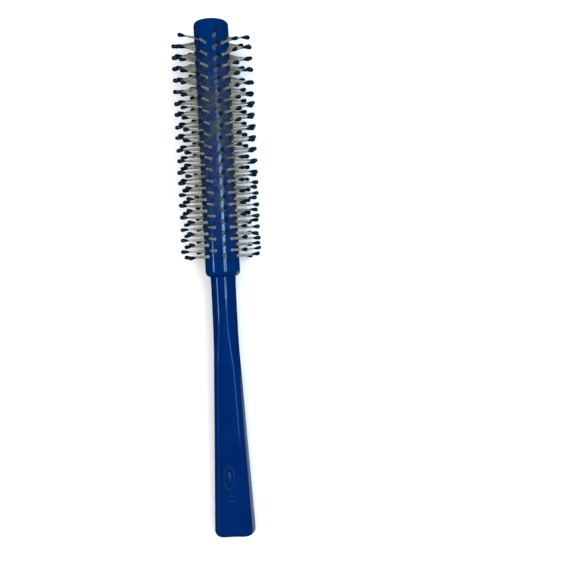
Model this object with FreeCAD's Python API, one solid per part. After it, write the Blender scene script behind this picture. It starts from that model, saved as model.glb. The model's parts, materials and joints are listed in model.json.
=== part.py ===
import FreeCAD, Part
import math
import os

# Round hair brush for blow drying. A moulded handle carries a slim perforated barrel, and twelve rows of
# tapered nylon quills with dipped ball tips stand out of the barrel all round. Millimetres throughout.
#
# Everything is first drawn upright in the brush's own frame: its long axis is +Y with the butt of the handle
# at y = 0, +Z is the side that the handle's front flat faces, and +X is to the right of that. At the end each
# piece is turned and lifted together, so that the brush lies at rest on the plane z = 0.

# ---- driving dimensions ----------------------------------------------------------------------------------
TOTAL_LENGTH = 223.5
HANDLE_LENGTH = 113.5            # butt face to the barrel's lower end
BARREL_RADIUS = 7.5
BARREL_WALL = 1.6
BARREL_SHOULDER_RADIUS = 2.3     # rounding where the barrel drops to the neck
BARREL_FLOOR = 3.6               # solid lower end of the barrel, which the handle's spigot goes through

CAP_THICKNESS = 2.6              # the visible head of the end cap
CAP_EDGE_RADIUS = 1.8
CAP_PLUG_LENGTH = 5.0

NECK_RADIUS = 5.37
NECK_TOP_FLARE = 0.1             # the neck swells a little where it meets the barrel
NECK_TOP_FLARE_LENGTH = 8.0
GRIP_BLEND_START = 14.0          # the round neck turns into the faceted grip between these two,
GRIP_BLEND_END = 44.0            # measured down from the barrel
GRIP_TAPER = 0.0435              # growth of the grip's half width per millimetre
GRIP_TAPER_START = 30.0
GRIP_TAPER_EASE = 12.0
GRIP_SIDE_DRAFT = 22.0           # degrees that each side leans out to the parting line
NECK_END = 30.0                  # below the barrel; from here the flats and corners change evenly to the butt
GRIP_FRONT_AT_NECK = 4.75        # axis to the front flat
GRIP_FRONT_AT_BUTT = 6.3
GRIP_SHARPNESS_AT_NECK = 4.0     # exponent that rounds the corners; larger is sharper
GRIP_SHARPNESS_AT_BUTT = 7.2
BUTT_EDGE_RADIUS = 2.4
SECTION_POINTS = 72
SECTIONS_DOWN = [0, 4, 8, 14, 20, 26, 32, 38, 44, 58, 74, 92]
EDGE_STEPS = 6

SPIGOT_RADIUS = 4.0
SPIGOT_LENGTH = 16.0
CORE_CLEARANCE = 0.05            # core sleeve to the barrel's plug and floor

ROW_COUNT = 12
QUILLS_IN_LONG_ROW = 20          # long and short rows alternate, staggered by half a pitch
QUILL_PITCH = 4.9
FIRST_QUILL_FROM_TOP = 8.1
QUILL_FOOT_AT = 5.3              # distances from the brush's axis along a quill
QUILL_END_AT = 15.8
TIP_START_AT = 14.2
TIP_END_AT = 17.6
QUILL_ROOT_RADIUS = 0.62         # at the barrel's surface
QUILL_END_RADIUS = 0.33
TIP_RADIUS = 0.9
TIP_THROAT_RADIUS = 0.47

# ---- derived dimensions ----------------------------------------------------------------------------------
BORE_RADIUS = BARREL_RADIUS - BARREL_WALL
CAP_SEAT_Y = TOTAL_LENGTH - CAP_THICKNESS
ROW_STEP = 360.0 / ROW_COUNT
QUILL_TAPER = (QUILL_ROOT_RADIUS - QUILL_END_RADIUS) / (QUILL_END_AT - BARREL_RADIUS)
TIP_CENTRE_AT = TIP_END_AT - TIP_RADIUS
OVERSHOOT = 1.0                  # how far cutting and joining shapes run past the faces that they meet
EDGE_TOLERANCE = 0.01

AXIS = FreeCAD.Vector(0, 1, 0)
OUTWARD = FreeCAD.Vector(0, 0, 1)


def on_axis(y):
    return FreeCAD.Vector(0, y, 0)


def cylinder(radius, low_y, high_y):
    return Part.makeCylinder(radius, high_y - low_y, on_axis(low_y), AXIS)


def rounded_rim(solid, rim_y, radius):
    """The solid with its circular edge at that height rounded."""
    rim = [edge for edge in solid.Edges
           if isinstance(edge.Curve, Part.Circle) and abs(edge.CenterOfMass.y - rim_y) < EDGE_TOLERANCE]
    return solid.makeFillet(radius, rim)


def quill_radius(distance):
    return QUILL_ROOT_RADIUS - QUILL_TAPER * (distance - BARREL_RADIUS)


# ---- handle ----------------------------------------------------------------------------------------------
def eased_step(value, start, end):
    part = min(max((value - start) / (end - start), 0.0), 1.0)
    return part * part * (3 - 2 * part)


def neck_radius(down):
    flare = max(0.0, 1.0 - down / NECK_TOP_FLARE_LENGTH)
    return NECK_RADIUS + NECK_TOP_FLARE * flare ** 2


def grip_half_width(down):
    past = down - GRIP_TAPER_START
    return NECK_RADIUS + 0.5 * GRIP_TAPER * (math.hypot(past, GRIP_TAPER_EASE) + past)


def along_grip(down, at_neck, at_butt):
    """A dimension that changes evenly from the end of the neck to the butt."""
    part = (down - NECK_END) / (HANDLE_LENGTH - NECK_END)
    return at_neck + (at_butt - at_neck) * max(part, 0.0)


def grip_radius(down, angle):
    """Axis to surface of the faceted grip: a six-sided section with flat front and back, and drafted sides
    that meet at the parting line."""
    draft = math.radians(GRIP_SIDE_DRAFT)
    power = along_grip(down, GRIP_SHARPNESS_AT_NECK, GRIP_SHARPNESS_AT_BUTT)
    side = grip_half_width(down) * 2 ** (1 / power) * math.cos(draft)
    front = along_grip(down, GRIP_FRONT_AT_NECK, GRIP_FRONT_AT_BUTT)
    facets = [(math.pi / 2, front), (-math.pi / 2, front)]
    facets += [(draft, side), (-draft, side), (math.pi - draft, side), (math.pi + draft, side)]
    total = 0.0
    for normal_angle, distance in facets:
        total += max(0.0, math.cos(angle - normal_angle) / distance) ** power
    return total ** (-1 / power)


def handle_section(down, inset=0.0):
    """Closed outline of the handle, a distance below the barrel. It is round at the neck."""
    points = []
    blend = eased_step(down, GRIP_BLEND_START, GRIP_BLEND_END)
    for step in range(SECTION_POINTS):
        angle = 2 * math.pi * step / SECTION_POINTS
        radius = (1 - blend) * neck_radius(down) + blend * grip_radius(down, angle) - inset
        points.append(FreeCAD.Vector(radius * math.cos(angle), HANDLE_LENGTH - down, radius * math.sin(angle)))
    outline = Part.BSplineCurve()
    outline.interpolate(points, PeriodicFlag=True, Parameters=list(range(SECTION_POINTS + 1)))
    return Part.Wire(outline.toShape())


def handle():
    """Solid handle with the round spigot that plugs into the barrel."""
    edge_start = HANDLE_LENGTH - BUTT_EDGE_RADIUS
    sections = [handle_section(down) for down in SECTIONS_DOWN + [edge_start]]
    grip = Part.makeLoft(sections, True, False)
    rounding = []
    for step in range(EDGE_STEPS + 1):
        turn = math.radians(90.0) * step / EDGE_STEPS
        down = edge_start + BUTT_EDGE_RADIUS * math.sin(turn)
        rounding.append(handle_section(down, BUTT_EDGE_RADIUS * (1 - math.cos(turn))))
    butt = Part.makeLoft(rounding, True, False)
    spigot = cylinder(SPIGOT_RADIUS, HANDLE_LENGTH - OVERSHOOT, HANDLE_LENGTH + SPIGOT_LENGTH)
    return grip.fuse([butt, spigot])


# ---- barrel, its core and its end cap --------------------------------------------------------------------
def row_angle(row):
    """Degrees from the front of the brush, towards its right side. The front faces a gap between two rows."""
    return ROW_STEP * (row + 0.5)


def quill_stations(row):
    """Distances along the brush's axis of the quills in a row, counted from the butt."""
    is_long = row % 2 == 0
    count = QUILLS_IN_LONG_ROW if is_long else QUILLS_IN_LONG_ROW - 1
    first = FIRST_QUILL_FROM_TOP + (0.0 if is_long else QUILL_PITCH / 2)
    return [TOTAL_LENGTH - first - QUILL_PITCH * place for place in range(count)]


def repeated_in_row(pattern, row):
    """Copies of a shape that points along +Z, one at each quill of a row."""
    copies = []
    for station in quill_stations(row):
        copy = pattern.copy()
        copy.rotate(on_axis(0), AXIS, row_angle(row))
        copy.translate(on_axis(station))
        copies.append(copy)
    return copies


def tapered_pin(near, far):
    """Stretch of a quill's cone between two distances from the brush's axis."""
    start = FreeCAD.Vector(0, 0, near)
    return Part.makeCone(quill_radius(near), quill_radius(far), far - near, start, OUTWARD)


def barrel():
    """Perforated tube with a rounded shoulder and a solid floor at the handle end."""
    tube = cylinder(BARREL_RADIUS, HANDLE_LENGTH, CAP_SEAT_Y)
    tube = rounded_rim(tube, HANDLE_LENGTH, BARREL_SHOULDER_RADIUS)
    floor_top = HANDLE_LENGTH + BARREL_FLOOR
    tube = tube.cut(cylinder(BORE_RADIUS, floor_top, CAP_SEAT_Y + OVERSHOOT))
    tube = tube.cut(cylinder(SPIGOT_RADIUS, HANDLE_LENGTH - OVERSHOOT, floor_top + OVERSHOOT))
    hole = tapered_pin(BORE_RADIUS - OVERSHOOT, BARREL_RADIUS + OVERSHOOT)
    for row in range(ROW_COUNT):
        for one_hole in repeated_in_row(hole, row):
            tube = tube.cut(one_hole)
    return tube


def core_sleeve():
    """Stiff sleeve inside the barrel. It carries the spigot and keeps the quills from falling back in."""
    low = HANDLE_LENGTH + BARREL_FLOOR + CORE_CLEARANCE
    high = CAP_SEAT_Y - CAP_PLUG_LENGTH - CORE_CLEARANCE
    sleeve = cylinder(QUILL_FOOT_AT, low, high)
    return sleeve.cut(cylinder(SPIGOT_RADIUS, low - OVERSHOOT, high + OVERSHOOT))


def end_cap():
    """Round cap with a soft edge, plugged into the barrel's open end."""
    head = rounded_rim(cylinder(BARREL_RADIUS, CAP_SEAT_Y, TOTAL_LENGTH), TOTAL_LENGTH, CAP_EDGE_RADIUS)
    return head.fuse(cylinder(BORE_RADIUS, CAP_SEAT_Y - CAP_PLUG_LENGTH, CAP_SEAT_Y))


# ---- quills and their ball tips --------------------------------------------------------------------------
def quill():
    return tapered_pin(QUILL_FOOT_AT, QUILL_END_AT)


def ball_tip():
    """Teardrop bead with a blind socket for the quill's end."""
    to_throat = FreeCAD.Vector(TIP_THROAT_RADIUS, 0, TIP_START_AT - TIP_CENTRE_AT)
    reach = to_throat.Length
    lean = math.atan2(to_throat.z, to_throat.x) + math.acos(TIP_RADIUS / reach)
    point = FreeCAD.Vector
    throat = point(TIP_THROAT_RADIUS, 0, TIP_START_AT)
    tangent = point(TIP_RADIUS * math.cos(lean), 0, TIP_CENTRE_AT + TIP_RADIUS * math.sin(lean))
    bulge = point(TIP_RADIUS * math.cos(math.pi / 6), 0, TIP_CENTRE_AT + TIP_RADIUS * math.sin(math.pi / 6))
    end = point(0, 0, TIP_END_AT)
    bottom = point(0, 0, QUILL_END_AT)
    socket = point(quill_radius(QUILL_END_AT), 0, QUILL_END_AT)
    mouth = point(quill_radius(TIP_START_AT), 0, TIP_START_AT)
    edges = [Part.LineSegment(throat, tangent).toShape(), Part.Arc(tangent, bulge, end).toShape()]
    loop = [end, bottom, socket, mouth, throat]
    edges += [Part.LineSegment(a, b).toShape() for a, b in zip(loop, loop[1:])]
    return Part.Face(Part.Wire(edges)).revolve(on_axis(0), OUTWARD, 360)


# ---- how the brush lies at rest --------------------------------------------------------------------------
def rest_tilt():
    """The brush lies back down on the butt's lower edge and on the last ball tips of the two lowest rows.
    Both are round underneath, so the plane it lies on is the common tangent of two circles."""
    butt_height = -(GRIP_FRONT_AT_BUTT - BUTT_EDGE_RADIUS)
    tip_height = -TIP_CENTRE_AT * math.cos(math.radians(ROW_STEP / 2))
    last_tip_y = min(min(quill_stations(row)) for row in range(ROW_COUNT))
    along = last_tip_y - BUTT_EDGE_RADIUS
    drop = butt_height - tip_height
    tilt = math.atan2(drop, along) - math.asin((BUTT_EDGE_RADIUS - TIP_RADIUS) / math.hypot(along, drop))
    return FreeCAD.Rotation(FreeCAD.Vector(1, 0, 0), math.degrees(tilt))


def rest_placement(pieces):
    """Tilted, with the origin in the middle of the brush's footprint on the plane that it lies on."""
    placement = FreeCAD.Placement(FreeCAD.Vector(0, 0, 0), rest_tilt())
    whole = Part.makeCompound([piece.copy() for piece in pieces])
    whole.Placement = placement
    box = whole.optimalBoundingBox()
    placement.Base = FreeCAD.Vector(-box.Center.x, -box.Center.y, -box.ZMin)
    return placement


def all_pieces():
    pieces = {
        "handle": handle(),
        "barrel": barrel(),
        "core_sleeve": core_sleeve(),
        "end_cap": end_cap(),
    }
    for row in range(ROW_COUNT):
        pieces[f"quills_row_{row + 1:02d}"] = Part.makeCompound(repeated_in_row(quill(), row))
        pieces[f"ball_tips_row_{row + 1:02d}"] = Part.makeCompound(repeated_in_row(ball_tip(), row))
    return pieces


os.makedirs("parts", exist_ok=True)
pieces = all_pieces()
placement = rest_placement(pieces.values())
print(f"tilt {math.degrees(placement.Rotation.Angle):.3f} degrees, moved {placement.Base}")
for node, shape in pieces.items():
    placed = shape.copy()
    placed.Placement = placement
    placed.exportStep(f"parts/{node}.step")
    print(f"{node}: {len(placed.Solids)} solids, {placed.Volume:.1f} mm3, valid {placed.isValid()}")
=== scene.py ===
import json
import math
import random

import bpy
import numpy as np
from mathutils import Matrix, Vector


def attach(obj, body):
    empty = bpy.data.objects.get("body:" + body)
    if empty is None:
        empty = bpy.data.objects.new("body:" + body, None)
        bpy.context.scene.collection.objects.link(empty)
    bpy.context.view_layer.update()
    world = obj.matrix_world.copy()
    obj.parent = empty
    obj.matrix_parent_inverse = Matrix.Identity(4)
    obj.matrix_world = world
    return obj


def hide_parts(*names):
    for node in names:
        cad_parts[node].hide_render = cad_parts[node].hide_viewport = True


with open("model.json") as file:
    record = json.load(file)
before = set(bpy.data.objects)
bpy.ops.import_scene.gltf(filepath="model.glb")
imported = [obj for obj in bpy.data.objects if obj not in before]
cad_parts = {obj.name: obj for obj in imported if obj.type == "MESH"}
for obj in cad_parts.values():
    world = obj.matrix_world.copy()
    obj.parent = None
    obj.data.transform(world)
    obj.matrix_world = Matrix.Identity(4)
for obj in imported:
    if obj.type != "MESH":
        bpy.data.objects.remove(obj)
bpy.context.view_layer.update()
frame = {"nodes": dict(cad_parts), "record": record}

# A round hair brush, built around its CAD frame. Shapes are drawn in millimetres in the brush's own frame,
# where +Y runs along the brush from the butt of its handle, +Z is the way its front flat faces and +X is to
# the right. new_object() turns them into metres where the CAD model lies.

MM = 0.001
ROW_COUNT = 12

# ---- the handle's shape, in millimetres, as the CAD model has it -----------------------------------------
NECK_RADIUS = 5.37
NECK_TOP_FLARE = 0.1
NECK_TOP_FLARE_LENGTH = 8.0
GRIP_BLEND_START = 14.0
GRIP_BLEND_END = 44.0
GRIP_TAPER = 0.0435
GRIP_TAPER_START = 30.0
GRIP_TAPER_EASE = 12.0
GRIP_FRONT_AT_NECK = 4.75
GRIP_FRONT_AT_BUTT = 6.3
NECK_END = 30.0
GRIP_SIDE_DRAFT = math.radians(22.0)
GRIP_SHARPNESS_AT_NECK = 4.0
GRIP_SHARPNESS_AT_BUTT = 7.2
BUTT_EDGE_RADIUS = 2.4

# ---- the barrel's, cap's and quills' shape, in millimetres -----------------------------------------------
BARREL_SHOULDER_RADIUS = 2.3
BARREL_WALL = 1.6
BARREL_FLOOR = 3.6
SPIGOT_RADIUS = 4.0
CAP_EDGE_RADIUS = 1.8
SEAM_BEVEL = 0.07
QUILL_ROOT_RADIUS = 0.62
QUILL_END_RADIUS = 0.33
QUILL_END_AT = 15.8
TIP_END_AT = 17.6
TIP_RADIUS = 0.9
TIP_LENGTH = 3.4


# ---- where the brush lies --------------------------------------------------------------------------------
def brush_matrix():
    """The brush's own frame in the row frame, read from the mount on the flat end of its butt."""
    butt = next(mount for mount in frame["record"]["mounts"] if mount["name"] == "butt_face")
    along = -Vector(butt["axis"]).normalized()
    right = Vector((1, 0, 0))
    front = right.cross(along).normalized()
    turn = Matrix((right, along, front)).transposed().to_4x4()
    return Matrix.Translation(Vector(butt["pos_m"])) @ turn


BRUSH = brush_matrix()
TO_BRUSH = BRUSH.inverted()


def cad_points(node):
    """A CAD node's vertices in the brush's own frame, in millimetres."""
    mesh = frame["nodes"][node].data
    flat = np.empty(len(mesh.vertices) * 3)
    mesh.vertices.foreach_get("co", flat)
    matrix = np.array(TO_BRUSH)
    return (flat.reshape(-1, 3) @ matrix[:3, :3].T + matrix[:3, 3]) / MM


def cad_reach(node):
    """(lowest, highest) along the brush and the greatest distance from its axis."""
    points = cad_points(node)
    return points[:, 1].min(), points[:, 1].max(), np.hypot(points[:, 0], points[:, 2]).max()


BARREL_LOW, CAP_SEAT, BARREL_RADIUS = (float(value) for value in cad_reach("barrel"))
BRUSH_LENGTH = float(cad_reach("end_cap")[1])
HANDLE_LENGTH = BARREL_LOW


TIP_GAP = 1.0                    # vertices further apart than this along a row belong to different tips


def tip_places(row):
    """Place of each ball tip in a row: distance along the brush, and angle about it from the front."""
    points = cad_points(f"ball_tips_row_{row + 1:02d}")
    angle = math.atan2(points[:, 0].mean(), points[:, 2].mean())
    stations = np.sort(points[:, 1])
    groups = np.split(stations, np.nonzero(np.diff(stations) > TIP_GAP)[0] + 1)
    return [(float(group.min() + group.max()) / 2, angle) for group in groups]


# ---- mesh helpers ----------------------------------------------------------------------------------------
def new_object(name, vertices, faces):
    """Smooth-shaded piece from millimetres in the brush's own frame."""
    mesh = bpy.data.meshes.new(name)
    mesh.from_pydata(vertices, [], faces)
    mesh.transform(BRUSH @ Matrix.Scale(MM, 4))
    mesh.validate()
    mesh.shade_smooth()
    piece = bpy.data.objects.new(name, mesh)
    bpy.context.scene.collection.objects.link(piece)
    return piece


def grid_faces(rows, columns, close_rows=False):
    """Quads over a grid of rows that each close on themselves; close_rows joins the last row to the first."""
    faces = []
    for row in range(rows if close_rows else rows - 1):
        here, above = row * columns, (row + 1) % rows * columns
        for column in range(columns):
            beside = (column + 1) % columns
            faces.append((here + column, here + beside, above + beside, above + column))
    return faces


def ring(radius, y, columns):
    """Circle of points round the brush's axis, which starts at the front."""
    angles = np.arange(columns) * 2 * math.pi / columns
    return np.stack([radius * np.sin(angles), np.full(columns, y), radius * np.cos(angles)], axis=1)


def arc(centre, radius, start, end, steps):
    """(radius, y) points of an arc; angles in degrees from the outward direction towards +Y."""
    turns = np.radians(np.linspace(start, end, steps + 1))
    return [(centre[0] + radius * math.cos(t), centre[1] + radius * math.sin(t)) for t in turns]


def closed_surface(rows):
    """Vertices and faces of rows of points, with both ends closed."""
    columns = len(rows[0])
    faces = grid_faces(len(rows), columns)
    faces.append(tuple(range(columns))[::-1])
    last = (len(rows) - 1) * columns
    faces.append(tuple(range(last, last + columns)))
    return np.concatenate(rows).tolist(), faces


def merged(parts):
    """One list of vertices and one of faces from several shapes."""
    vertices, faces = [], []
    for part_vertices, part_faces in parts:
        start = len(vertices)
        vertices.extend(part_vertices)
        faces.extend(tuple(start + i for i in face) for face in part_faces)
    return vertices, faces


CRISP_ANGLE = math.radians(38)


def sharpen(piece):
    """Smooth shading, but crisp across real corners."""
    piece.data.set_sharp_from_angle(angle=CRISP_ANGLE)


# ---- handle ----------------------------------------------------------------------------------------------
def eased_step(value, start, end):
    """Smooth step from 0 at start to 1 at end."""
    part = np.clip((value - start) / (end - start), 0.0, 1.0)
    return part * part * (3 - 2 * part)


def along_grip(down, at_neck, at_butt):
    """Value that stays at the neck's until the neck ends, then runs evenly to the butt's."""
    part = (down - NECK_END) / (HANDLE_LENGTH - NECK_END)
    return at_neck + (at_butt - at_neck) * np.maximum(part, 0.0)


def grip_radius(down, angle):
    """Distance from the axis to the grip's surface: flat front and back, and sides with two drafted facets
    each, all with soft corners. The angle runs from the right towards the front."""
    past = down - GRIP_TAPER_START
    half_width = NECK_RADIUS + 0.5 * GRIP_TAPER * (np.hypot(past, GRIP_TAPER_EASE) + past)
    power = along_grip(down, GRIP_SHARPNESS_AT_NECK, GRIP_SHARPNESS_AT_BUTT)
    side = half_width * 2 ** (1 / power) * math.cos(GRIP_SIDE_DRAFT)
    front = along_grip(down, GRIP_FRONT_AT_NECK, GRIP_FRONT_AT_BUTT)
    total = 0.0
    facets = [(math.pi / 2, front), (-math.pi / 2, front)]
    for lean in (GRIP_SIDE_DRAFT, -GRIP_SIDE_DRAFT, math.pi - GRIP_SIDE_DRAFT, math.pi + GRIP_SIDE_DRAFT):
        facets.append((lean, side))
    for normal_angle, distance in facets:
        total = total + np.maximum(0.0, np.cos(angle - normal_angle) / distance) ** power
    return total ** (-1 / power)


def handle_radius(down, angle):
    """Distance from the axis to the handle's surface: a round neck that blends into the grip."""
    flare = np.maximum(0.0, 1.0 - down / NECK_TOP_FLARE_LENGTH)
    neck = NECK_RADIUS + NECK_TOP_FLARE * flare ** 2
    blend = eased_step(down, GRIP_BLEND_START, GRIP_BLEND_END)
    return (1 - blend) * neck + blend * grip_radius(down, angle)


PARTING_LINE_HEIGHT = 0.045
PARTING_LINE_WIDTH = 0.16


def parting_line(down, angle):
    """Height of the fine witness line that the mould's two halves leave along both sides."""
    beside = np.abs(np.sin(angle)) * handle_radius(down, angle)
    return PARTING_LINE_HEIGHT * np.exp(-(beside / PARTING_LINE_WIDTH) ** 2)


HANDLE_COLUMNS = 384
FLARE_ROWS = 24
GRIP_ROWS = 240
BUTT_EDGE_ROWS = 15
BUTT_FACE_RINGS = (0.85, 0.6, 0.3)      # rings across the flat end of the butt, as parts of its rim
TOP_FACE_RING = 0.5                     # ring across its other end, which the barrel hides


def build_handle():
    columns = HANDLE_COLUMNS
    angles = np.arange(columns) * 2 * math.pi / columns
    edge_start = HANDLE_LENGTH - BUTT_EDGE_RADIUS
    stations = [(down, 0.0) for down in np.linspace(0, NECK_TOP_FLARE_LENGTH, FLARE_ROWS, endpoint=False)]
    stations += [(down, 0.0) for down in np.linspace(NECK_TOP_FLARE_LENGTH, edge_start, GRIP_ROWS)]
    for turn in np.radians(np.linspace(0, 90, BUTT_EDGE_ROWS))[1:]:
        inset = BUTT_EDGE_RADIUS * (1 - math.cos(turn))
        stations.append((edge_start + BUTT_EDGE_RADIUS * math.sin(turn), inset))
    rows = []
    for down, inset in stations:
        radius = handle_radius(down, angles) + parting_line(down, angles) - inset
        y = np.full(columns, HANDLE_LENGTH - down)
        rows.append(np.stack([radius * np.cos(angles), y, radius * np.sin(angles)], axis=1))
    rim = rows[-1]
    rows += [rim * (shrink, 1, shrink) for shrink in BUTT_FACE_RINGS]
    rows.insert(0, rows[0] * (TOP_FACE_RING, 1, TOP_FACE_RING))
    return new_object("handle_moulding", *closed_surface(rows))


# ---- plain raised motif on the handle --------------------------------------------------------------------
MOTIF_CENTRE = (-0.9, 26.3)      # across, and up from the butt
MOTIF_HALF_WIDTH = 2.7
MOTIF_HALF_HEIGHT = 5.4
MOTIF_LINE = 0.95
MOTIF_RELIEF = 0.32
MOTIF_BEVEL = 0.28
MOTIF_BARS = ((18.4, 2.3), (16.2, 1.6))     # distance from the butt, half width
MOTIF_BAR_HALF_HEIGHT = 0.5
MOTIF_PAD = (0.42, 0.55)         # the pad's half width and half height as parts of the ring's
MOTIF_ROOT = -0.3                # how far the motif reaches into the handle
OUTLINE_STEPS = 72
ELLIPSE = 2.0
ROUNDED_BAR = 4.0


def front_height(y):
    """Height of the grip's front flat above the brush's axis."""
    return handle_radius(HANDLE_LENGTH - y, math.pi / 2)


def rounded_outline(centre, half_width, half_height, squareness, grow):
    """Superellipse, grown outwards by a distance."""
    points = []
    for step in range(OUTLINE_STEPS):
        turn = 2 * math.pi * step / OUTLINE_STEPS
        across, up = math.cos(turn), math.sin(turn)
        x = math.copysign(abs(across) ** (2 / squareness), across) * (half_width + grow)
        y = math.copysign(abs(up) ** (2 / squareness), up) * (half_height + grow)
        points.append((centre[0] + x, centre[1] + y))
    return points


def relief_row(outline, height):
    return np.array([(x, y, front_height(y) + height) for x, y in outline])


def raised_pad(centre, half_width, half_height, squareness):
    def edge(grow):
        return rounded_outline(centre, half_width, half_height, squareness, grow)
    rows = [relief_row(edge(0), MOTIF_ROOT), relief_row(edge(0), MOTIF_RELIEF - MOTIF_BEVEL),
            relief_row(edge(-MOTIF_BEVEL), MOTIF_RELIEF)]
    return closed_surface(rows)


def raised_line(centre, half_width, half_height, squareness):
    """Band that follows the outline."""
    def edge(grow):
        return rounded_outline(centre, half_width, half_height, squareness, grow)
    inner = -MOTIF_LINE
    rows = [relief_row(edge(0), MOTIF_ROOT), relief_row(edge(0), MOTIF_RELIEF - MOTIF_BEVEL),
            relief_row(edge(-MOTIF_BEVEL), MOTIF_RELIEF), relief_row(edge(inner + MOTIF_BEVEL), MOTIF_RELIEF),
            relief_row(edge(inner), MOTIF_RELIEF - MOTIF_BEVEL), relief_row(edge(inner), MOTIF_ROOT)]
    faces = grid_faces(len(rows), len(rows[0]), close_rows=True)
    return np.concatenate(rows).tolist(), faces


def build_motif():
    pad_width, pad_height = MOTIF_HALF_WIDTH * MOTIF_PAD[0], MOTIF_HALF_HEIGHT * MOTIF_PAD[1]
    parts = [raised_line(MOTIF_CENTRE, MOTIF_HALF_WIDTH, MOTIF_HALF_HEIGHT, ELLIPSE),
             raised_pad(MOTIF_CENTRE, pad_width, pad_height, ELLIPSE)]
    for from_butt, half_width in MOTIF_BARS:
        bar_centre = (MOTIF_CENTRE[0], from_butt)
        parts.append(raised_pad(bar_centre, half_width, MOTIF_BAR_HALF_HEIGHT, ROUNDED_BAR))
    return new_object("grip_motif", *merged(parts))


# ---- barrel and end cap ----------------------------------------------------------------------------------
BARREL_COLUMNS = 288
BARREL_ROW_STEP = 0.22
CAP_COLUMNS = 144
EDGE_STEPS = 16
HOLE_RADIUS = 0.5
HOLE_RIM_RADIUS = 0.95
HOLE_RIM_DEPTH = 0.12
HOLE_MARGIN = 1.2                # finely divided stretch of the barrel past its outermost holes


def sink_holes(rows, places):
    """Countersinks the mouth of each quill's hole in the barrel's outer rows."""
    angles = np.arange(BARREL_COLUMNS) * 2 * math.pi / BARREL_COLUMNS
    for station, angle in places:
        around = (angles - angle + math.pi) % (2 * math.pi) - math.pi
        for row in rows:
            along = row[0, 1] - station
            if abs(along) > HOLE_RIM_RADIUS:
                continue
            distance = np.hypot(around * BARREL_RADIUS, along)
            inward = HOLE_RIM_RADIUS - distance
            depth = HOLE_RIM_DEPTH * eased_step(inward, 0.0, HOLE_RIM_RADIUS - HOLE_RADIUS)
            row[:, 0] -= depth * np.sin(angles)
            row[:, 2] -= depth * np.cos(angles)


def build_barrel(places):
    corner = BARREL_RADIUS - BARREL_SHOULDER_RADIUS
    shoulder_y = BARREL_LOW + BARREL_SHOULDER_RADIUS
    bore = BARREL_RADIUS - BARREL_WALL
    lower = [(SPIGOT_RADIUS, BARREL_LOW)]
    lower += arc((corner, shoulder_y), BARREL_SHOULDER_RADIUS, -90, 0, EDGE_STEPS)
    first = min(station for station, _ in places) - HOLE_MARGIN
    last = max(station for station, _ in places) + HOLE_MARGIN
    outer = [(BARREL_RADIUS, y) for y in np.arange(first, last, BARREL_ROW_STEP)]
    upper = [(BARREL_RADIUS, CAP_SEAT - SEAM_BEVEL), (BARREL_RADIUS - SEAM_BEVEL, CAP_SEAT), (bore, CAP_SEAT),
             (bore, BARREL_LOW + BARREL_FLOOR), (SPIGOT_RADIUS, BARREL_LOW + BARREL_FLOOR)]
    rows = [ring(radius, y, BARREL_COLUMNS) for radius, y in lower + outer + upper]
    sink_holes(rows[len(lower):len(lower) + len(outer)], places)
    faces = grid_faces(len(rows), BARREL_COLUMNS, close_rows=True)
    barrel = new_object("barrel_shell", np.concatenate(rows).tolist(), faces)
    sharpen(barrel)
    return barrel


# (radius, depth) across the cap's flat face, to the shallow dimple at its centre
CAP_FACE = ((5.0, 0.0), (3.2, 0.0), (1.9, 0.0), (1.6, 0.03), (1.4, 0.10), (0.7, 0.12))


def build_end_cap():
    bore = BARREL_RADIUS - BARREL_WALL
    plug_low = cad_reach("end_cap")[0]
    profile = [(bore * 0.5, plug_low), (bore, plug_low), (bore, CAP_SEAT),
               (BARREL_RADIUS - SEAM_BEVEL, CAP_SEAT), (BARREL_RADIUS, CAP_SEAT + SEAM_BEVEL)]
    edge = (BARREL_RADIUS - CAP_EDGE_RADIUS, BRUSH_LENGTH - CAP_EDGE_RADIUS)
    profile += arc(edge, CAP_EDGE_RADIUS, 0, 90, EDGE_STEPS)
    profile += [(radius, BRUSH_LENGTH - depth) for radius, depth in CAP_FACE]
    rows = [ring(radius, y, CAP_COLUMNS) for radius, y in profile]
    cap = new_object("end_cap_moulding", *closed_surface(rows))
    sharpen(cap)
    return cap


# ---- quills and ball tips --------------------------------------------------------------------------------
QUILL_SIDES = 14
TIP_SIDES = 18
BEND_SPREAD = 0.24               # how far a quill's end strays sideways, in millimetres
MOST_BEND = 0.6
REACH_SPREAD = 0.10
REACH_RANGE = (-0.25, 0.2)
TIP_SIZE_SPREAD = 0.05
TIP_SIZE_RANGE = (-0.12, 0.1)
TIP_STRETCH_SPREAD = 0.07
TIP_STRETCH_RANGE = (-0.15, 0.15)
TIP_LUMP_SPREAD = 0.035
QUILL_FILLET = 0.13              # how much wider a quill is right at the barrel
QUILL_FILLET_REACH = 0.22
QUILL_ROOT_ROWS = (-0.9, -0.12, 0.0, 0.12, 0.3, 0.6)     # distances from the barrel's surface
QUILL_PLAIN_FROM = 1.3
QUILL_PLAIN_ROWS = 8
TIP_WALL = 0.07                  # thickness of the resin where a tip begins
TIP_SWELL_ROWS = 9
TIP_SWELL_POWER = 1.25
TIP_DOME_TURNS = (15, 30, 45, 60, 74, 84)                # degrees round the tip's end
BEND_SEED = 20


def stray(rng, spread, lowest, highest):
    """A small random difference, held between two limits."""
    return max(lowest, min(highest, rng.gauss(0, spread)))


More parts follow.
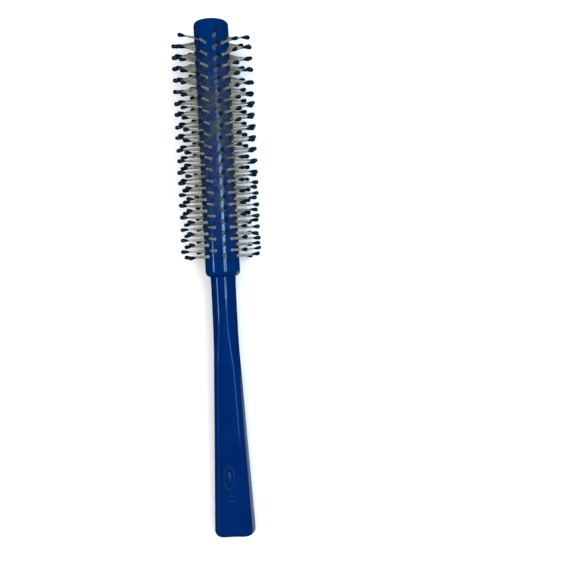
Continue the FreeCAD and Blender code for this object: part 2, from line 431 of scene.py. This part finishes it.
class Quill:
    """One bristle: its place, and the small ways in which it differs from its neighbours."""

    def __init__(self, station, angle, rng):
        self.station = station
        self.angle = angle
        self.bend = [stray(rng, BEND_SPREAD, -MOST_BEND, MOST_BEND) for _ in range(2)]
        self.lengthen = stray(rng, REACH_SPREAD, *REACH_RANGE)
        self.tip_scale = 1 + stray(rng, TIP_SIZE_SPREAD, *TIP_SIZE_RANGE)
        self.tip_stretch = 1 + stray(rng, TIP_STRETCH_SPREAD, *TIP_STRETCH_RANGE)
        self.tip_lump = [rng.gauss(0, TIP_LUMP_SPREAD) for _ in range(2)]

    def centre(self, distance):
        """Sideways offsets (around, along) at a distance from the brush's axis."""
        part = max(0.0, distance - BARREL_RADIUS) / (QUILL_END_AT - BARREL_RADIUS)
        return self.bend[0] * part ** 2, self.bend[1] * part ** 2

    def ring(self, distance, radius, sides, lump=(0.0, 0.0)):
        """Circle of points round the quill, in the brush's own frame."""
        around, along = self.centre(distance)
        outward = (math.sin(self.angle), math.cos(self.angle))
        sideways = (math.cos(self.angle), -math.sin(self.angle))
        points = []
        for step in range(sides):
            turn = 2 * math.pi * step / sides
            across = around + lump[0] + radius * math.cos(turn)
            up = along + lump[1] + radius * math.sin(turn)
            points.append((outward[0] * distance + sideways[0] * across, self.station + up,
                           outward[1] * distance + sideways[1] * across))
        return np.array(points)


def quill_shaft(quill):
    """Tapered nylon pin with a small fillet where it leaves the barrel."""
    rows = []
    end = QUILL_END_AT + quill.lengthen
    taper = (QUILL_ROOT_RADIUS - QUILL_END_RADIUS) / (QUILL_END_AT - BARREL_RADIUS)
    distances = [BARREL_RADIUS + out for out in QUILL_ROOT_ROWS]
    distances += list(np.linspace(BARREL_RADIUS + QUILL_PLAIN_FROM, end, QUILL_PLAIN_ROWS))
    for distance in distances:
        out = distance - BARREL_RADIUS
        radius = QUILL_ROOT_RADIUS - taper * out
        radius += QUILL_FILLET * math.exp(-max(0.0, out) / QUILL_FILLET_REACH)
        rows.append(quill.ring(distance, radius, QUILL_SIDES))
    return closed_surface(rows)


def ball_tip(quill):
    """Teardrop of dipped resin that swells from the quill to a round end."""
    radius = TIP_RADIUS * quill.tip_scale
    length = TIP_LENGTH * quill.tip_stretch
    end = TIP_END_AT + quill.lengthen
    start = end - length
    belly = end - radius
    throat = (QUILL_END_RADIUS + TIP_WALL) / radius
    rows = []
    for part in np.linspace(0, 1, TIP_SWELL_ROWS):
        swell = math.sin(part * math.pi / 2) ** TIP_SWELL_POWER
        lump = [value * swell for value in quill.tip_lump]
        rows.append(quill.ring(start + (belly - start) * part, radius * (throat + (1 - throat) * swell),
                               TIP_SIDES, lump))
    for turn in np.radians(TIP_DOME_TURNS):
        rows.append(quill.ring(belly + radius * math.sin(turn), radius * math.cos(turn), TIP_SIDES,
                               quill.tip_lump))
    return closed_surface(rows)


def build_row(row, rng):
    """The quills of one row and their ball tips, as two pieces."""
    quills = [Quill(station, angle, rng) for station, angle in tip_places(row)]
    name = f"{row + 1:02d}"
    shafts = new_object(f"nylon_quills_{name}", *merged([quill_shaft(quill) for quill in quills]))
    tips = new_object(f"resin_tips_{name}", *merged([ball_tip(quill) for quill in quills]))
    return shafts, tips


# ---- materials -------------------------------------------------------------------------------------------
# a Mix node's sockets for colours, which share their names with its sockets for numbers
MIX_LOW, MIX_HIGH, MIX_RESULT = 6, 7, 2


class Nodes:
    """A node tree with helpers for the few nodes that the finishes and the surroundings need."""

    def __init__(self, tree):
        self.nodes = tree.nodes
        self.links = tree.links

    def add(self, kind, inputs, **settings):
        """First output of a new node, whose inputs are given as sockets to link or values to set."""
        node = self.nodes.new(kind)
        for key, value in settings.items():
            setattr(node, key, value)
        for key, value in inputs.items():
            if isinstance(value, bpy.types.NodeSocket):
                self.links.new(value, node.inputs[key])
            else:
                node.inputs[key].default_value = value
        return node.outputs[0]

    def split(self, vector):
        """Sockets for a vector's X, Y and Z."""
        node = self.nodes.new("ShaderNodeSeparateXYZ")
        self.links.new(vector, node.inputs[0])
        return node.outputs

    def calculate(self, operation, *values):
        return self.add("ShaderNodeMath", dict(enumerate(values)), operation=operation)

    def product(self, first, second):
        return self.calculate("MULTIPLY", first, second)

    def ramp(self, value, low, high, to_low=0.0, to_high=1.0):
        """Value that runs evenly from to_low to to_high as the input goes from low to high."""
        return self.add("ShaderNodeMapRange", {"Value": value, "From Min": low, "From Max": high,
                                               "To Min": to_low, "To Max": to_high})

    def mix(self, factor, low, high):
        """Blend of two colours, each a socket or (red, green, blue)."""
        node = self.nodes.new("ShaderNodeMix")
        node.data_type = "RGBA"
        self.links.new(factor, node.inputs["Factor"])
        for socket, colour in ((node.inputs[MIX_LOW], low), (node.inputs[MIX_HIGH], high)):
            if isinstance(colour, bpy.types.NodeSocket):
                self.links.new(colour, socket)
            else:
                socket.default_value = (*colour, 1)
        return node.outputs[MIX_RESULT]


class Surface(Nodes):
    """A Principled material, with its texture space in metres."""

    def __init__(self, name, **values):
        self.material = bpy.data.materials.new(name)
        self.material.use_nodes = True
        super().__init__(self.material.node_tree)
        self.shader = self.nodes["Principled BSDF"]
        for socket, value in values.items():
            self.shader.inputs[socket.replace("_", " ")].default_value = value
        self.place = self.nodes.new("ShaderNodeTexCoord").outputs["Object"]

    def noise(self, scale, detail, roughness=0.55, stretch=None):
        """Noise over the surface; stretch gives it a different scale along X, Y and Z."""
        place = self.place
        if stretch:
            tilt = math.atan2(BRUSH.col[1][2], BRUSH.col[1][1])
            place = self.add("ShaderNodeMapping", {"Vector": place, "Rotation": (-tilt, 0, 0),
                                                   "Scale": stretch})
        return self.add("ShaderNodeTexNoise", {"Vector": place, "Scale": scale, "Detail": detail,
                                               "Roughness": roughness})

    def in_brush_frame(self):
        """Sockets for the place across, along and up from the brush's axis, in metres."""
        turn = tuple(BRUSH.to_euler())
        place = self.add("ShaderNodeMapping", {"Vector": self.place, "Location": tuple(BRUSH.translation),
                                               "Rotation": turn}, vector_type="TEXTURE")
        return self.split(place)

    def bump(self, height, distance, strength=1.0, under=None):
        inputs = {"Height": height, "Distance": distance, "Strength": strength}
        if under:
            inputs["Normal"] = under
        return self.add("ShaderNodeBump", inputs)

    def set(self, socket, value):
        self.links.new(value, self.shader.inputs[socket])


# dark film between the quills: dried residue, together with painted shade from the crowded quills
RESIDUE_AND_SHADE_COLOUR = (0.040, 0.044, 0.026)
RESIDUE_AND_SHADE_FROM_COLLAR = (8, 60)    # millimetres from the barrel's lower end where the residue film and its painted shade start and are full
RESIDUE_AND_SHADE_FROM_CAP = (9, 32)       # the same from the cap's seat
STAINED_AND_SHADED_ROOT = (-1, 9)           # millimetres from the barrel where a quill is darkest, with stain and painted shade, and where it has its clean colour
ROOTS_LIGHTER_BY_COLLAR = (50, 15)     # millimetres from the barrel's lower end where the roots start to turn lighter and where they are lightest
SCRATCH_STRETCH = (5200, 130, 5200)     # fine across the brush and long along it


def shade_of(colour, factor):
    """The colour made darker or lighter by a factor."""
    return tuple(channel * factor for channel in colour)


def blue_plastic(name, colour, smoothest, dullest, residue_and_shade=False):
    """Glossy moulded plastic: faint orange peel, flow streaks, and hairline scratches from use. Where asked
    for, a patchy dark film between the quills stands for dried styling product and dust, and also paints the
    shade that the crowded quills cast on the barrel."""
    surface = Surface(name, IOR=1.46, Specular_IOR_Level=0.45)
    flow = surface.ramp(surface.noise(70, 4), 0.3, 0.7)
    blue = surface.mix(flow, shade_of(colour, 0.88), shade_of(colour, 1.1))
    scratches = surface.ramp(surface.noise(1, 5, 0.7, stretch=SCRATCH_STRETCH), 0.60, 0.78)
    smudges = surface.ramp(surface.noise(95, 5), 0.42, 0.75, smoothest, dullest)
    roughness = surface.calculate("MULTIPLY_ADD", scratches, 0.10, smudges)
    # painted shade: the darker film also paints the shade that the quills cast on the barrel between them
    if residue_and_shade:
        along = surface.in_brush_frame()["Y"]
        low_end = surface.ramp(along, *((BARREL_LOW + past) * MM for past in RESIDUE_AND_SHADE_FROM_COLLAR))
        top_end = surface.ramp(along, *((CAP_SEAT - short) * MM for short in RESIDUE_AND_SHADE_FROM_CAP))
        patches = surface.ramp(surface.noise(330, 5, 0.65), 0.42, 0.60, 0.2, 1.0)
        film_and_shade = surface.product(surface.product(low_end, top_end), patches)
        blue = surface.mix(surface.product(film_and_shade, 0.85), blue, RESIDUE_AND_SHADE_COLOUR)
        roughness = surface.calculate("MULTIPLY_ADD", film_and_shade, 0.45, roughness)
    surface.set("Base Color", blue)
    surface.set("Roughness", roughness)
    peel = surface.bump(surface.noise(420, 2), 0.00003, 0.35)
    surface.set("Normal", surface.bump(scratches, -0.000012, 0.6, under=peel))
    return surface.material


def nylon():
    """Off-white translucent nylon, darker and browner towards the barrel: stain from use, together with
    painted shade where the quills crowd at the barrel.
    """
    surface = Surface("quill_nylon", Roughness=0.32, IOR=1.53, Subsurface_Weight=0.3, Subsurface_Scale=0.0012,
                      Transmission_Weight=0.08)
    surface.shader.inputs["Subsurface Radius"].default_value = (1.0, 0.92, 0.75)
    across, along, up = surface.in_brush_frame()
    squares = surface.calculate("ADD", surface.product(across, across), surface.product(up, up))
    outward = surface.calculate("SQRT", squares)
    towards_tip = surface.ramp(outward, *((BARREL_RADIUS + out) * MM for out in STAINED_AND_SHADED_ROOT))
    near_collar = [(BARREL_LOW + past) * MM for past in ROOTS_LIGHTER_BY_COLLAR]
    towards_neck = surface.ramp(along, *near_collar, 0.0, 0.8)
    less_stain_and_shade = surface.calculate("MAXIMUM", towards_tip, towards_neck)
    mottle = surface.ramp(surface.noise(420, 4, 0.6), 0.35, 0.68)
    clean = surface.mix(mottle, (0.225, 0.217, 0.165), (0.50, 0.48, 0.40))
    stained_and_shaded_root_colour = surface.mix(mottle, (0.075, 0.07, 0.05), (0.34, 0.33, 0.26))
    # painted shade: the darker roots stand for stain and also paint the shade among the crowded quills at the
    # barrel
    surface.set("Base Color", surface.mix(less_stain_and_shade, stained_and_shaded_root_colour, clean))
    surface.set("Normal", surface.bump(surface.noise(2600, 2), 0.00002, 0.4))
    return surface.material


def dipped_resin():
    """Very dark teal resin, glossy and slightly uneven."""
    surface = Surface("tip_resin", IOR=1.5, Specular_IOR_Level=0.35, Coat_Weight=0.12, Coat_Roughness=0.06)
    mottle = surface.ramp(surface.noise(500, 3), 0.35, 0.7)
    surface.set("Base Color", surface.mix(mottle, (0.0005, 0.006, 0.010), (0.0015, 0.014, 0.022)))
    surface.set("Roughness", surface.ramp(surface.noise(900, 3), 0.3, 0.7, 0.12, 0.26))
    surface.set("Normal", surface.bump(surface.noise(1100, 2), 0.00006, 0.4))
    return surface.material


def core_plastic():
    surface = Surface("core_plastic", Roughness=0.5)
    surface.set("Base Color", surface.mix(surface.noise(300, 3), (0.30, 0.31, 0.32), (0.40, 0.41, 0.42)))
    surface.set("Normal", surface.bump(surface.noise(1500, 3), 0.00003, 0.4))
    return surface.material


def pale_floor():
    surface = Surface("pale_floor", Roughness=0.6, Emission_Strength=0.1)
    surface.set("Base Color", surface.mix(surface.noise(9, 3), (0.89, 0.89, 0.885), (0.91, 0.91, 0.905)))
    return surface.material


def finish_with(piece, material):
    """Gives a piece its only material."""
    piece.data.materials.clear()
    piece.data.materials.append(material)


# ---- the brush -------------------------------------------------------------------------------------------
def build_brush():
    rng = random.Random(BEND_SEED)
    handle_blue = blue_plastic("handle_plastic", (0.0, 0.0155, 0.101), 0.05, 0.10)
    motif_blue = blue_plastic("motif_plastic", (0.0, 0.0205, 0.092), 0.38, 0.46)
    barrel_blue = blue_plastic("barrel_plastic", (0.0, 0.0200, 0.108), 0.04, 0.10, residue_and_shade=True)
    nylon_finish, resin_finish = nylon(), dipped_resin()

    handle = build_handle()
    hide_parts("handle")
    finish_with(handle, handle_blue)
    motif = build_motif()
    finish_with(motif, motif_blue)

    places = [place for row in range(ROW_COUNT) for place in tip_places(row)]
    barrel = build_barrel(places)
    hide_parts("barrel")
    finish_with(barrel, barrel_blue)
    cap = build_end_cap()
    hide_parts("end_cap")
    finish_with(cap, barrel_blue)
    pieces = [handle, motif, barrel, cap]

    for row in range(ROW_COUNT):
        shafts, tips = build_row(row, rng)
        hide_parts(f"quills_row_{row + 1:02d}")
        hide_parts(f"ball_tips_row_{row + 1:02d}")
        finish_with(shafts, nylon_finish)
        finish_with(tips, resin_finish)
        pieces += [shafts, tips]

    for piece in pieces:
        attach(piece, "root")
    finish_with(frame["nodes"]["core_sleeve"], core_plastic())


# ---- studio ----------------------------------------------------------------------------------------------
FLOOR_HALF = 0.5                 # metres


def build_floor():
    mesh = bpy.data.meshes.new("floor")
    corners = [(x * FLOOR_HALF, y * FLOOR_HALF, 0) for x, y in ((-1, -1), (1, -1), (1, 1), (-1, 1))]
    mesh.from_pydata(corners, [], [(0, 1, 2, 3)])
    floor = bpy.data.objects.new("floor", mesh)
    bpy.context.scene.collection.objects.link(floor)
    finish_with(floor, pale_floor())
    floor.visible_glossy = False


def area_light(name, degrees_right, y, distance, size, power, colour, in_reflections=True):
    """Soft box that faces the brush's axis, y metres from the butt and in a direction given as degrees to the
    right of its front."""
    turn = math.radians(degrees_right)
    place = Vector((distance * math.sin(turn), y, distance * math.cos(turn)))
    light = bpy.data.lights.new(name, "AREA")
    light.shape = "RECTANGLE"
    light.size, light.size_y = size
    light.energy = power
    light.color = colour
    lamp = bpy.data.objects.new(name, light)
    toward_light = place - Vector((0, y, 0))
    beside = Vector((math.cos(turn), 0, -math.sin(turn)))
    facing = Matrix((beside, Vector((0, 1, 0)), toward_light.normalized()))
    lamp.matrix_world = BRUSH @ Matrix.Translation(place) @ facing.transposed().to_4x4()
    lamp.visible_glossy = in_reflections
    bpy.context.scene.collection.objects.link(lamp)


def build_lights():
    area_light("overhead_fill", 5, 0.11, 1.1, (1.0, 1.0), 17.2, (1.0, 0.945, 0.905), in_reflections=False)
    area_light("right_softbox", 24.7, 0.18, 0.55, (0.16, 0.20), 1.5, (0.42, 0.72, 1.0))
    area_light("right_strip", 24.7, 0.045, 0.55, (0.07, 0.17), 0.17, (0.22, 0.65, 1.0))
    area_light("left_softbox", -54.0, 0.098, 0.55, (0.08, 0.10), 0.32, (0.38, 0.62, 1.0))
    area_light("left_strip", -54.0, -0.07, 0.55, (0.08, 0.22), 0.13, (0.15, 0.6, 1.0))
    build_surroundings()
    bpy.context.scene.view_settings.view_transform = "Standard"


ROOM_BRIGHTNESS = 0.015
ROOM_TINT = (0.80, 0.97, 1.0)
WHITE = (1.0, 1.0, 1.0)


def build_surroundings():
    """White backdrop. Everything but the camera sees a dark room instead, with one pale patch low on the
    right, past the butt."""
    world = bpy.data.worlds.new("studio")
    world.use_nodes = True
    room = Nodes(world.node_tree)
    x, y, z = room.split(room.nodes.new("ShaderNodeTexCoord").outputs["Generated"])
    to_the_right = room.ramp(x, 0.0, 0.7, 0.05, 1.15)
    past_the_butt = room.product(room.ramp(y, -0.02, -0.10), room.ramp(y, -0.55, -0.42))
    low = room.product(room.ramp(z, -1.0, -0.93), room.ramp(z, -0.45, -0.58))
    patch = room.product(to_the_right, past_the_butt)
    in_reflections = room.calculate("MULTIPLY_ADD", patch, low, ROOM_BRIGHTNESS)
    seen_directly = room.nodes.new("ShaderNodeLightPath").outputs["Is Camera Ray"]
    background = room.nodes["Background"]
    room.links.new(room.ramp(seen_directly, 0.0, 1.0, in_reflections, 1.0), background.inputs["Strength"])
    room.links.new(room.mix(seen_directly, ROOM_TINT, WHITE), background.inputs["Color"])
    bpy.context.scene.world = world


# ---- camera ----------------------------------------------------------------------------------------------
LENS_MM = 50.2
TOP_FROM_CAMERA = Vector((-34.30, 115.74, -349.40))     # the barrel's free end, in camera axes, in mm
AXIS_LEAN = 0.0464               # radians that the butt lies to the right of the line straight down the view
AXIS_AWAY = 0.032                # radians that the butt end leans away from the camera
BRUSH_ROLL = math.radians(-2.5)  # the front flat faces this far to the right of the camera


def build_camera():
    down_axis = Vector((math.sin(AXIS_LEAN) * math.cos(AXIS_AWAY), -math.cos(AXIS_LEAN) * math.cos(AXIS_AWAY),
                        -math.sin(AXIS_AWAY)))
    along = -down_axis
    toward = (Vector((0, 0, 1)) - along * along.z).normalized()
    beside = along.cross(toward)
    front = math.sin(BRUSH_ROLL) * beside + math.cos(BRUSH_ROLL) * toward
    right = along.cross(front)
    butt = (TOP_FROM_CAMERA + down_axis * BRUSH_LENGTH) * MM
    seen = Matrix.Translation(butt) @ Matrix((right, along, front)).transposed().to_4x4()
    lens = bpy.data.cameras.new("camera")
    lens.lens = LENS_MM
    lens.clip_start = 0.01
    camera = bpy.data.objects.new("camera", lens)
    camera.matrix_world = BRUSH @ seen.inverted()
    bpy.context.scene.collection.objects.link(camera)
    bpy.context.scene.camera = camera


build_camera()
build_brush()
build_floor()
build_lights()
